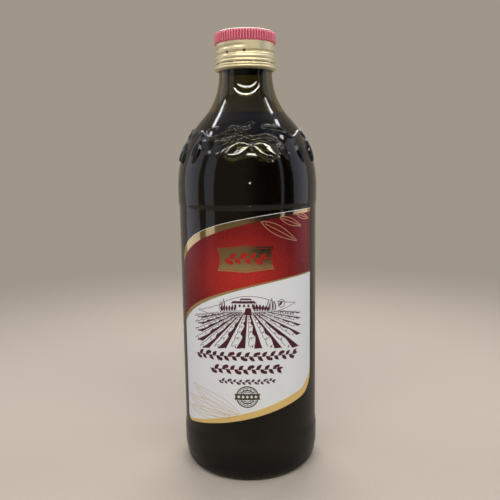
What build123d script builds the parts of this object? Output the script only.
from build123d import *
from math import acos, cos, degrees, pi, radians, sin, sqrt, tan
import os

# A one-litre round glass bottle of olive oil with a rolled-on aluminium closure and a paper label.
# Frame: millimetres, origin at the middle of the base on the surface it stands on, +Z up,
# label facing -Y.

# ---------------------------------------------------------------- driving dimensions
# glass body, from the bottom up
body_diameter = 85.5
heel_foot_radius = 6.0  # tight arc that leaves the bearing ring
heel_flank_radius = 27.0  # slack arc that runs into the straight wall
heel_flank_turn = 23.0  # degrees turned by the slack arc
bearing_width = 3.0  # flat ring that the bottle stands on
punt_height = 7.0  # rise of the underside at the middle
lower_band_height = 23.8  # base to the lower edge of the label panel
panel_step = 2.5  # height of the slope into the label panel
panel_recess = 0.5
panel_height = 137.7
upper_band_height = 9.1
shoulder_radius = 59.0
neck_sweep_radius = 38.6
neck_diameter = 32.1
neck_land = 1.5  # straight neck below the closure

# glass thickness
wall = 2.4
base_thickness = 4.5
floor_height = 4.2  # inside corner above the standing surface
inner_heel_radius = 9.0

# glass finish inside the closure
thread_depth = 1.15
thread_pitch = 3.7
glass_thread_turns = 1.5
thread_root_width = 2.0
thread_crest_width = 0.9
thread_overlap = 0.15  # how far each thread is rooted in its wall
lip_round = 0.8

# closure: one drawn aluminium shell, its sealing disc counted in the top
skirt_height = 15.1  # lower edge to the knurled band
closure_top = 1.5
shell_wall = 0.3
shell_clearance = 0.2  # shell to the crest of the glass thread
tuck_clearance = 0.35  # rolled-in edge to the neck
knurl_bulge = 0.75
knurl_height = 6.6  # knurled band and the round edge above it
knurl_flare = 0.4  # height of the slope under the band
knurl_round = 0.9
knurl_ribs = 68
flute_radius = 0.75
flute_depth = 0.3
rolled_groove_depth = 0.6
rolled_groove_width = 1.6
rolled_groove_turns = 1.3
rolled_groove_azimuth = -85.0  # upper end, degrees from +X
rolled_groove_drop = 2.6  # upper end below the knurled band
bridge_count = 10
bridge_width = 0.8
slit_height = 0.5

# heights on the closure, above its lower edge
tuck_height = 1.4
low_bead_height, low_bead_rise, low_bead_bulge = 1.3, 1.6, 0.55
band_bead_height, band_bead_rise = 3.0, 1.1
slit_level = 3.9
lower_ridge_height, lower_ridge_rise = 4.9, 1.2
upper_ridge_height, upper_ridge_rise = 7.1, 1.4
ridge_bulge = 0.3
transfer_bead_height, transfer_bead_rise, transfer_bead_slope = 1.9, 1.7, 0.4

# oil
headspace = 47.6  # oil surface below the rim of the glass
oil_clearance = 0.05

# paper label: straight sides, top edge a quarter ellipse, sloping foot with two round corners
label_width = 92.6  # along the curve
label_lift = 5.3  # lowest point above the lower end of the panel
label_headroom = 0.8  # highest point below the upper end of the panel
label_top_drop = 29.2  # left end of the top edge below its right end
label_foot_slope = 13.0  # degrees
label_left_corner = 4.0
label_right_corner = 14.0
label_thickness = 0.12
glue_line = 0.05

# ---------------------------------------------------------------- places worked out from them
body_radius = body_diameter / 2
panel_radius = body_radius - panel_recess
glass_offset = wall + panel_recess  # outside of the bands to the inside
inner_radius = body_radius - glass_offset

panel_bottom = lower_band_height + panel_step
panel_top = panel_bottom + panel_height
shoulder_level = panel_top + panel_step + upper_band_height

neck_radius = neck_diameter / 2
bore_radius = neck_radius - glass_offset
shoulder_turn = degrees(acos(1 - (body_radius - neck_radius) / (shoulder_radius + neck_sweep_radius)))
neck_level = shoulder_level + (shoulder_radius + neck_sweep_radius) * sin(radians(shoulder_turn))

closure_level = neck_level + neck_land
knurl_level = closure_level + skirt_height
closure_top_level = knurl_level + knurl_height
rim_level = closure_top_level - closure_top
thread_radius = neck_radius + thread_depth
shell_inner_radius = thread_radius + shell_clearance
skirt_radius = shell_inner_radius + shell_wall
knurl_radius = skirt_radius + knurl_bulge
tuck_radius = neck_radius + tuck_clearance
oil_level = rim_level - headspace

groove_top = knurl_level - rolled_groove_drop
groove_start = groove_top - thread_pitch * rolled_groove_turns
glass_thread_top = groove_top + thread_pitch / 2
glass_thread_start = glass_thread_top - thread_pitch * glass_thread_turns


def on_arc(centre, radius, angle):
    """Point of the (radius, height) plane on an arc, at an angle in degrees from outward."""
    return (centre[0] + radius * cos(radians(angle)), centre[1] + radius * sin(radians(angle)))


def helical_ridge(radius, turns, root_width, crest_width, height):
    """Thread of trapezoid section that starts on +X at height 0 and stands out of radius by height."""
    helix = Helix(pitch=thread_pitch, height=thread_pitch * turns, radius=radius)
    section_plane = Plane(origin=helix @ 0, x_dir=(1, 0, 0), z_dir=helix % 0)
    with BuildPart() as ridge:
        with BuildSketch(section_plane):
            with BuildLine():
                Polyline(
                    (0, -root_width / 2),
                    (height, -crest_width / 2),
                    (height, crest_width / 2),
                    (0, root_width / 2),
                    close=True,
                )
            make_face()
        sweep(path=helix, is_frenet=True)
    return ridge.part


# ---------------------------------------------------------------- outline of the cavity
def cavity_wall(gap):
    """Lines of the cavity's wall from the middle of the floor to the bore, set in by a gap."""
    radius = inner_radius - gap
    corner = inner_heel_radius - gap
    corner_centre = (radius - corner, floor_height + inner_heel_radius)
    floor_middle = (0, punt_height + base_thickness + gap)
    floor_edge = on_arc(corner_centre, corner, -90)
    floor_radius = (floor_edge[0] ** 2 + (floor_middle[1] - floor_edge[1]) ** 2) / (
        2 * (floor_middle[1] - floor_edge[1])
    )
    half_floor = floor_edge[0] / 2
    floor_mid_height = floor_middle[1] - floor_radius + sqrt(floor_radius**2 - half_floor**2)
    ThreePointArc(floor_middle, (half_floor, floor_mid_height), floor_edge)
    ThreePointArc(floor_edge, on_arc(corner_centre, corner, -45), (radius, corner_centre[1]))
    Line((radius, corner_centre[1]), (radius, shoulder_level))
    shoulder = JernArc(
        start=(radius, shoulder_level),
        tangent=(0, 1),
        radius=shoulder_radius - glass_offset - gap,
        arc_size=shoulder_turn,
    )
    JernArc(
        start=shoulder @ 1,
        tangent=shoulder % 1,
        radius=neck_sweep_radius + glass_offset + gap,
        arc_size=-shoulder_turn,
    )


# ---------------------------------------------------------------- glass bottle
heel_flank_centre = (
    body_radius - heel_flank_radius,
    heel_foot_radius + (heel_flank_radius - heel_foot_radius) * sin(radians(heel_flank_turn)),
)
heel_joint = on_arc(heel_flank_centre, heel_flank_radius, -heel_flank_turn)
heel_foot_centre = on_arc(heel_flank_centre, heel_flank_radius - heel_foot_radius, -heel_flank_turn)
bearing_outer = heel_foot_centre[0]
bearing_inner = bearing_outer - bearing_width
foot_mid_angle = -(90 + heel_flank_turn) / 2
punt_radius = (bearing_inner**2 + punt_height**2) / (2 * punt_height)
punt_mid_height = punt_height - punt_radius + sqrt(punt_radius**2 - (bearing_inner / 2) ** 2)
transfer_level = closure_level + transfer_bead_height

with BuildPart() as glass_bottle:
    with BuildSketch(Plane.XZ):
        with BuildLine():
            # underside and heel
            ThreePointArc((0, punt_height), (bearing_inner / 2, punt_mid_height), (bearing_inner, 0))
            Line((bearing_inner, 0), (bearing_outer, 0))
            ThreePointArc(
                (bearing_outer, 0), on_arc(heel_foot_centre, heel_foot_radius, foot_mid_angle), heel_joint
            )
            ThreePointArc(
                heel_joint,
                on_arc(heel_flank_centre, heel_flank_radius, -heel_flank_turn / 2),
                (body_radius, heel_flank_centre[1]),
            )
            # lower band, label panel, upper band
            Polyline(
                (body_radius, heel_flank_centre[1]),
                (body_radius, lower_band_height),
                (panel_radius, panel_bottom),
                (panel_radius, panel_top),
                (body_radius, panel_top + panel_step),
                (body_radius, shoulder_level),
            )
            # shoulder and neck
            outer_shoulder = JernArc(
                start=(body_radius, shoulder_level),
                tangent=(0, 1),
                radius=shoulder_radius,
                arc_size=shoulder_turn,
            )
            JernArc(
                start=outer_shoulder @ 1,
                tangent=outer_shoulder % 1,
                radius=neck_sweep_radius,
                arc_size=-shoulder_turn,
            )
            # finish: transfer bead that the closure's edge is rolled under, thread wall, round lip
            Polyline(
                (neck_radius, neck_level),
                (neck_radius, transfer_level),
                (thread_radius, transfer_level + transfer_bead_slope),
                (thread_radius, transfer_level + transfer_bead_rise - transfer_bead_slope),
                (neck_radius, transfer_level + transfer_bead_rise),
                (neck_radius, rim_level - lip_round),
            )
            ThreePointArc(
                (neck_radius, rim_level - lip_round),
                on_arc((neck_radius - lip_round, rim_level - lip_round), lip_round, 45),
                (neck_radius - lip_round, rim_level),
            )
            Polyline(
                (neck_radius - lip_round, rim_level),
                (bore_radius, rim_level),
                (bore_radius, neck_level),
            )
            cavity_wall(gap=0)
            Line((0, punt_height + base_thickness), (0, punt_height))
        make_face()
    revolve(axis=Axis.Z)

    glass_thread = helical_ridge(
        radius=neck_radius - thread_overlap,
        turns=glass_thread_turns,
        root_width=thread_root_width,
        crest_width=thread_crest_width,
        height=thread_depth + thread_overlap,
    )
    with Locations(
        Location((0, 0, glass_thread_start), (0, 0, rolled_groove_azimuth - 360 * glass_thread_turns))
    ):
        add(glass_thread)
glass_bottle.part.label = "glass_bottle"

# ---------------------------------------------------------------- oil, up to its level in the shoulder
with BuildPart() as oil:
    with BuildSketch(Plane.XZ):
        with BuildLine():
            cavity_wall(gap=oil_clearance)
            Polyline(
                (bore_radius - oil_clearance, neck_level),
                (bore_radius - oil_clearance, rim_level),
                (0, rim_level),
                (0, punt_height + base_thickness + oil_clearance),
            )
        make_face()
    revolve(axis=Axis.Z)
    split(bisect_by=Plane.XY.offset(oil_level), keep=Keep.BOTTOM)
oil.part.label = "oil"


# ---------------------------------------------------------------- closure
def bead(height, rise, bulge):
    """Round bead on the skirt whose middle is at a height above the closure's lower edge."""
    middle = closure_level + height
    ThreePointArc(
        (skirt_radius, middle - rise / 2), (skirt_radius + bulge, middle), (skirt_radius, middle + rise / 2)
    )


def skirt(lower, upper):
    """Straight stretch of the skirt between two heights above the closure's lower edge."""
    Line((skirt_radius, closure_level + lower), (skirt_radius, closure_level + upper))


with BuildPart() as closure:
    with BuildSketch(Plane.XZ):
        with BuildLine():
            # rolled-in edge and the beads of the tamper band
            Polyline(
                (shell_inner_radius, closure_level + tuck_height),
                (tuck_radius, closure_level),
                (tuck_radius + shell_wall, closure_level),
                (skirt_radius, closure_level + low_bead_height - low_bead_rise / 2),
            )
            bead(low_bead_height, low_bead_rise, low_bead_bulge)
            skirt(low_bead_height + low_bead_rise / 2, band_bead_height - band_bead_rise / 2)
            bead(band_bead_height, band_bead_rise, ridge_bulge)
            skirt(band_bead_height + band_bead_rise / 2, lower_ridge_height - lower_ridge_rise / 2)
            bead(lower_ridge_height, lower_ridge_rise, ridge_bulge)
            skirt(lower_ridge_height + lower_ridge_rise / 2, upper_ridge_height - upper_ridge_rise / 2)
            bead(upper_ridge_height, upper_ridge_rise, ridge_bulge)
            # plain skirt, knurled band and top
            Polyline(
                (skirt_radius, closure_level + upper_ridge_height + upper_ridge_rise / 2),
                (skirt_radius, knurl_level),
                (knurl_radius, knurl_level + knurl_flare),
                (knurl_radius, closure_top_level - knurl_round),
            )
            ThreePointArc(
                (knurl_radius, closure_top_level - knurl_round),
                on_arc((knurl_radius - knurl_round, closure_top_level - knurl_round), knurl_round, 45),
                (knurl_radius - knurl_round, closure_top_level),
            )
            Polyline(
                (knurl_radius - knurl_round, closure_top_level),
                (0, closure_top_level),
                (0, rim_level),
                (shell_inner_radius, rim_level),
                (shell_inner_radius, closure_level + tuck_height),
            )
        make_face()
    revolve(axis=Axis.Z)

    # flutes between the ribs of the knurl
    with BuildSketch(Plane.XY.offset(knurl_level)):
        with PolarLocations(knurl_radius + flute_radius - flute_depth, knurl_ribs):
            Circle(flute_radius)
    extrude(amount=knurl_height - knurl_round, mode=Mode.SUBTRACT)

    # slit of the tamper band, between its bridges
    slit_bottom = closure_level + slit_level - slit_height / 2
    with BuildSketch(Plane.XY.offset(slit_bottom)):
        Circle(knurl_radius)
        Circle(shell_inner_radius - shell_clearance / 2, mode=Mode.SUBTRACT)
        with PolarLocations(skirt_radius, bridge_count, start_angle=180 / bridge_count - 90):
            Rectangle(2 * knurl_bulge + 2 * shell_wall, bridge_width, mode=Mode.SUBTRACT)
    extrude(amount=slit_height, mode=Mode.SUBTRACT)

    # groove rolled into the skirt between the turns of the glass thread: a ridge inside, a channel outside
    inner_ridge = helical_ridge(
        radius=shell_inner_radius + thread_overlap,
        turns=rolled_groove_turns,
        root_width=rolled_groove_width,
        crest_width=rolled_groove_width / 2,
        height=-(rolled_groove_depth + thread_overlap),
    )
    outer_channel = helical_ridge(
        radius=skirt_radius + thread_overlap,
        turns=rolled_groove_turns,
        root_width=rolled_groove_width,
        crest_width=rolled_groove_width / 2,
        height=-(rolled_groove_depth + thread_overlap),
    )
    with Locations(
        Location((0, 0, groove_start), (0, 0, rolled_groove_azimuth - 360 * rolled_groove_turns))
    ):
        add(inner_ridge)
        add(outer_channel, mode=Mode.SUBTRACT)
closure.part.label = "closure"

# ---------------------------------------------------------------- label
label_bottom = panel_bottom + label_lift
label_top = panel_top - label_headroom
half_label = label_width / 2
wrap_radius = panel_radius + glue_line
foot_slope = radians(label_foot_slope)
left_corner_centre = (label_left_corner - half_label, label_bottom + label_left_corner)
foot_start = on_arc(left_corner_centre, label_left_corner, label_foot_slope - 90)
foot_run = half_label - label_right_corner * (1 - sin(foot_slope)) - foot_start[0]
foot_end = (foot_start[0] + foot_run, foot_start[1] + foot_run * tan(foot_slope))
right_corner_centre = (half_label - label_right_corner, foot_end[1] + label_right_corner * cos(foot_slope))


def wrapped(point):
    """Place of a point of the flat label (along, up) seen from the front once the label is on the bottle."""
    return (wrap_radius * sin(point[0] / wrap_radius), point[1])


def straight(first, last):
    """Edge of the label that is straight when flat."""
    steps = 8
    along = last[0] - first[0]
    up = last[1] - first[1]
    Spline(*[wrapped((first[0] + along * i / steps, first[1] + up * i / steps)) for i in range(steps + 1)])


def corner(centre, radius, first_angle, last_angle):
    """Edge of the label that is a round corner when flat."""
    steps = 6
    turn = last_angle - first_angle
    Spline(*[wrapped(on_arc(centre, radius, first_angle + turn * i / steps)) for i in range(steps + 1)])


def crest():
    """Top edge of the label: when flat, a quarter ellipse whose middle is on the right edge."""
    steps = 14
    points = []
    for i in range(steps + 1):
        angle = pi / 2 * i / steps
        points.append((half_label - label_width * cos(angle), label_top - label_top_drop * (1 - sin(angle))))
    Spline(*[wrapped(point) for point in points])


with BuildPart() as label:
    with BuildSketch(Plane.XZ):
        with BuildLine():
            crest()
            Line(wrapped((half_label, label_top)), wrapped((half_label, right_corner_centre[1])))
            corner(right_corner_centre, label_right_corner, 0, label_foot_slope - 90)
            straight(foot_end, foot_start)
            corner(left_corner_centre, label_left_corner, label_foot_slope - 90, -180)
            Line(
                wrapped((-half_label, left_corner_centre[1])),
                wrapped((-half_label, label_top - label_top_drop)),
            )
        make_face()
    extrude(amount=body_radius)
    with BuildSketch(Plane.XY.offset(panel_bottom)) as label_ring:
        Circle(wrap_radius + label_thickness)
        Circle(wrap_radius, mode=Mode.SUBTRACT)
    extrude(to_extrude=label_ring.sketch, amount=panel_height, mode=Mode.INTERSECT)
label.part.label = "label"

# ---------------------------------------------------------------- files
os.makedirs("parts", exist_ok=True)
export_step(glass_bottle.part, "parts/glass_bottle.step")
export_step(oil.part, "parts/oil.step")
export_step(closure.part, "parts/closure.step")
export_step(label.part, "parts/label.step")

print("oil ml", round(oil.part.volume / 1000, 1), "oil level", round(oil_level, 1))
print("glass g", round(glass_bottle.part.volume * 2.5 / 1000, 1), "height", round(closure_top_level, 1))
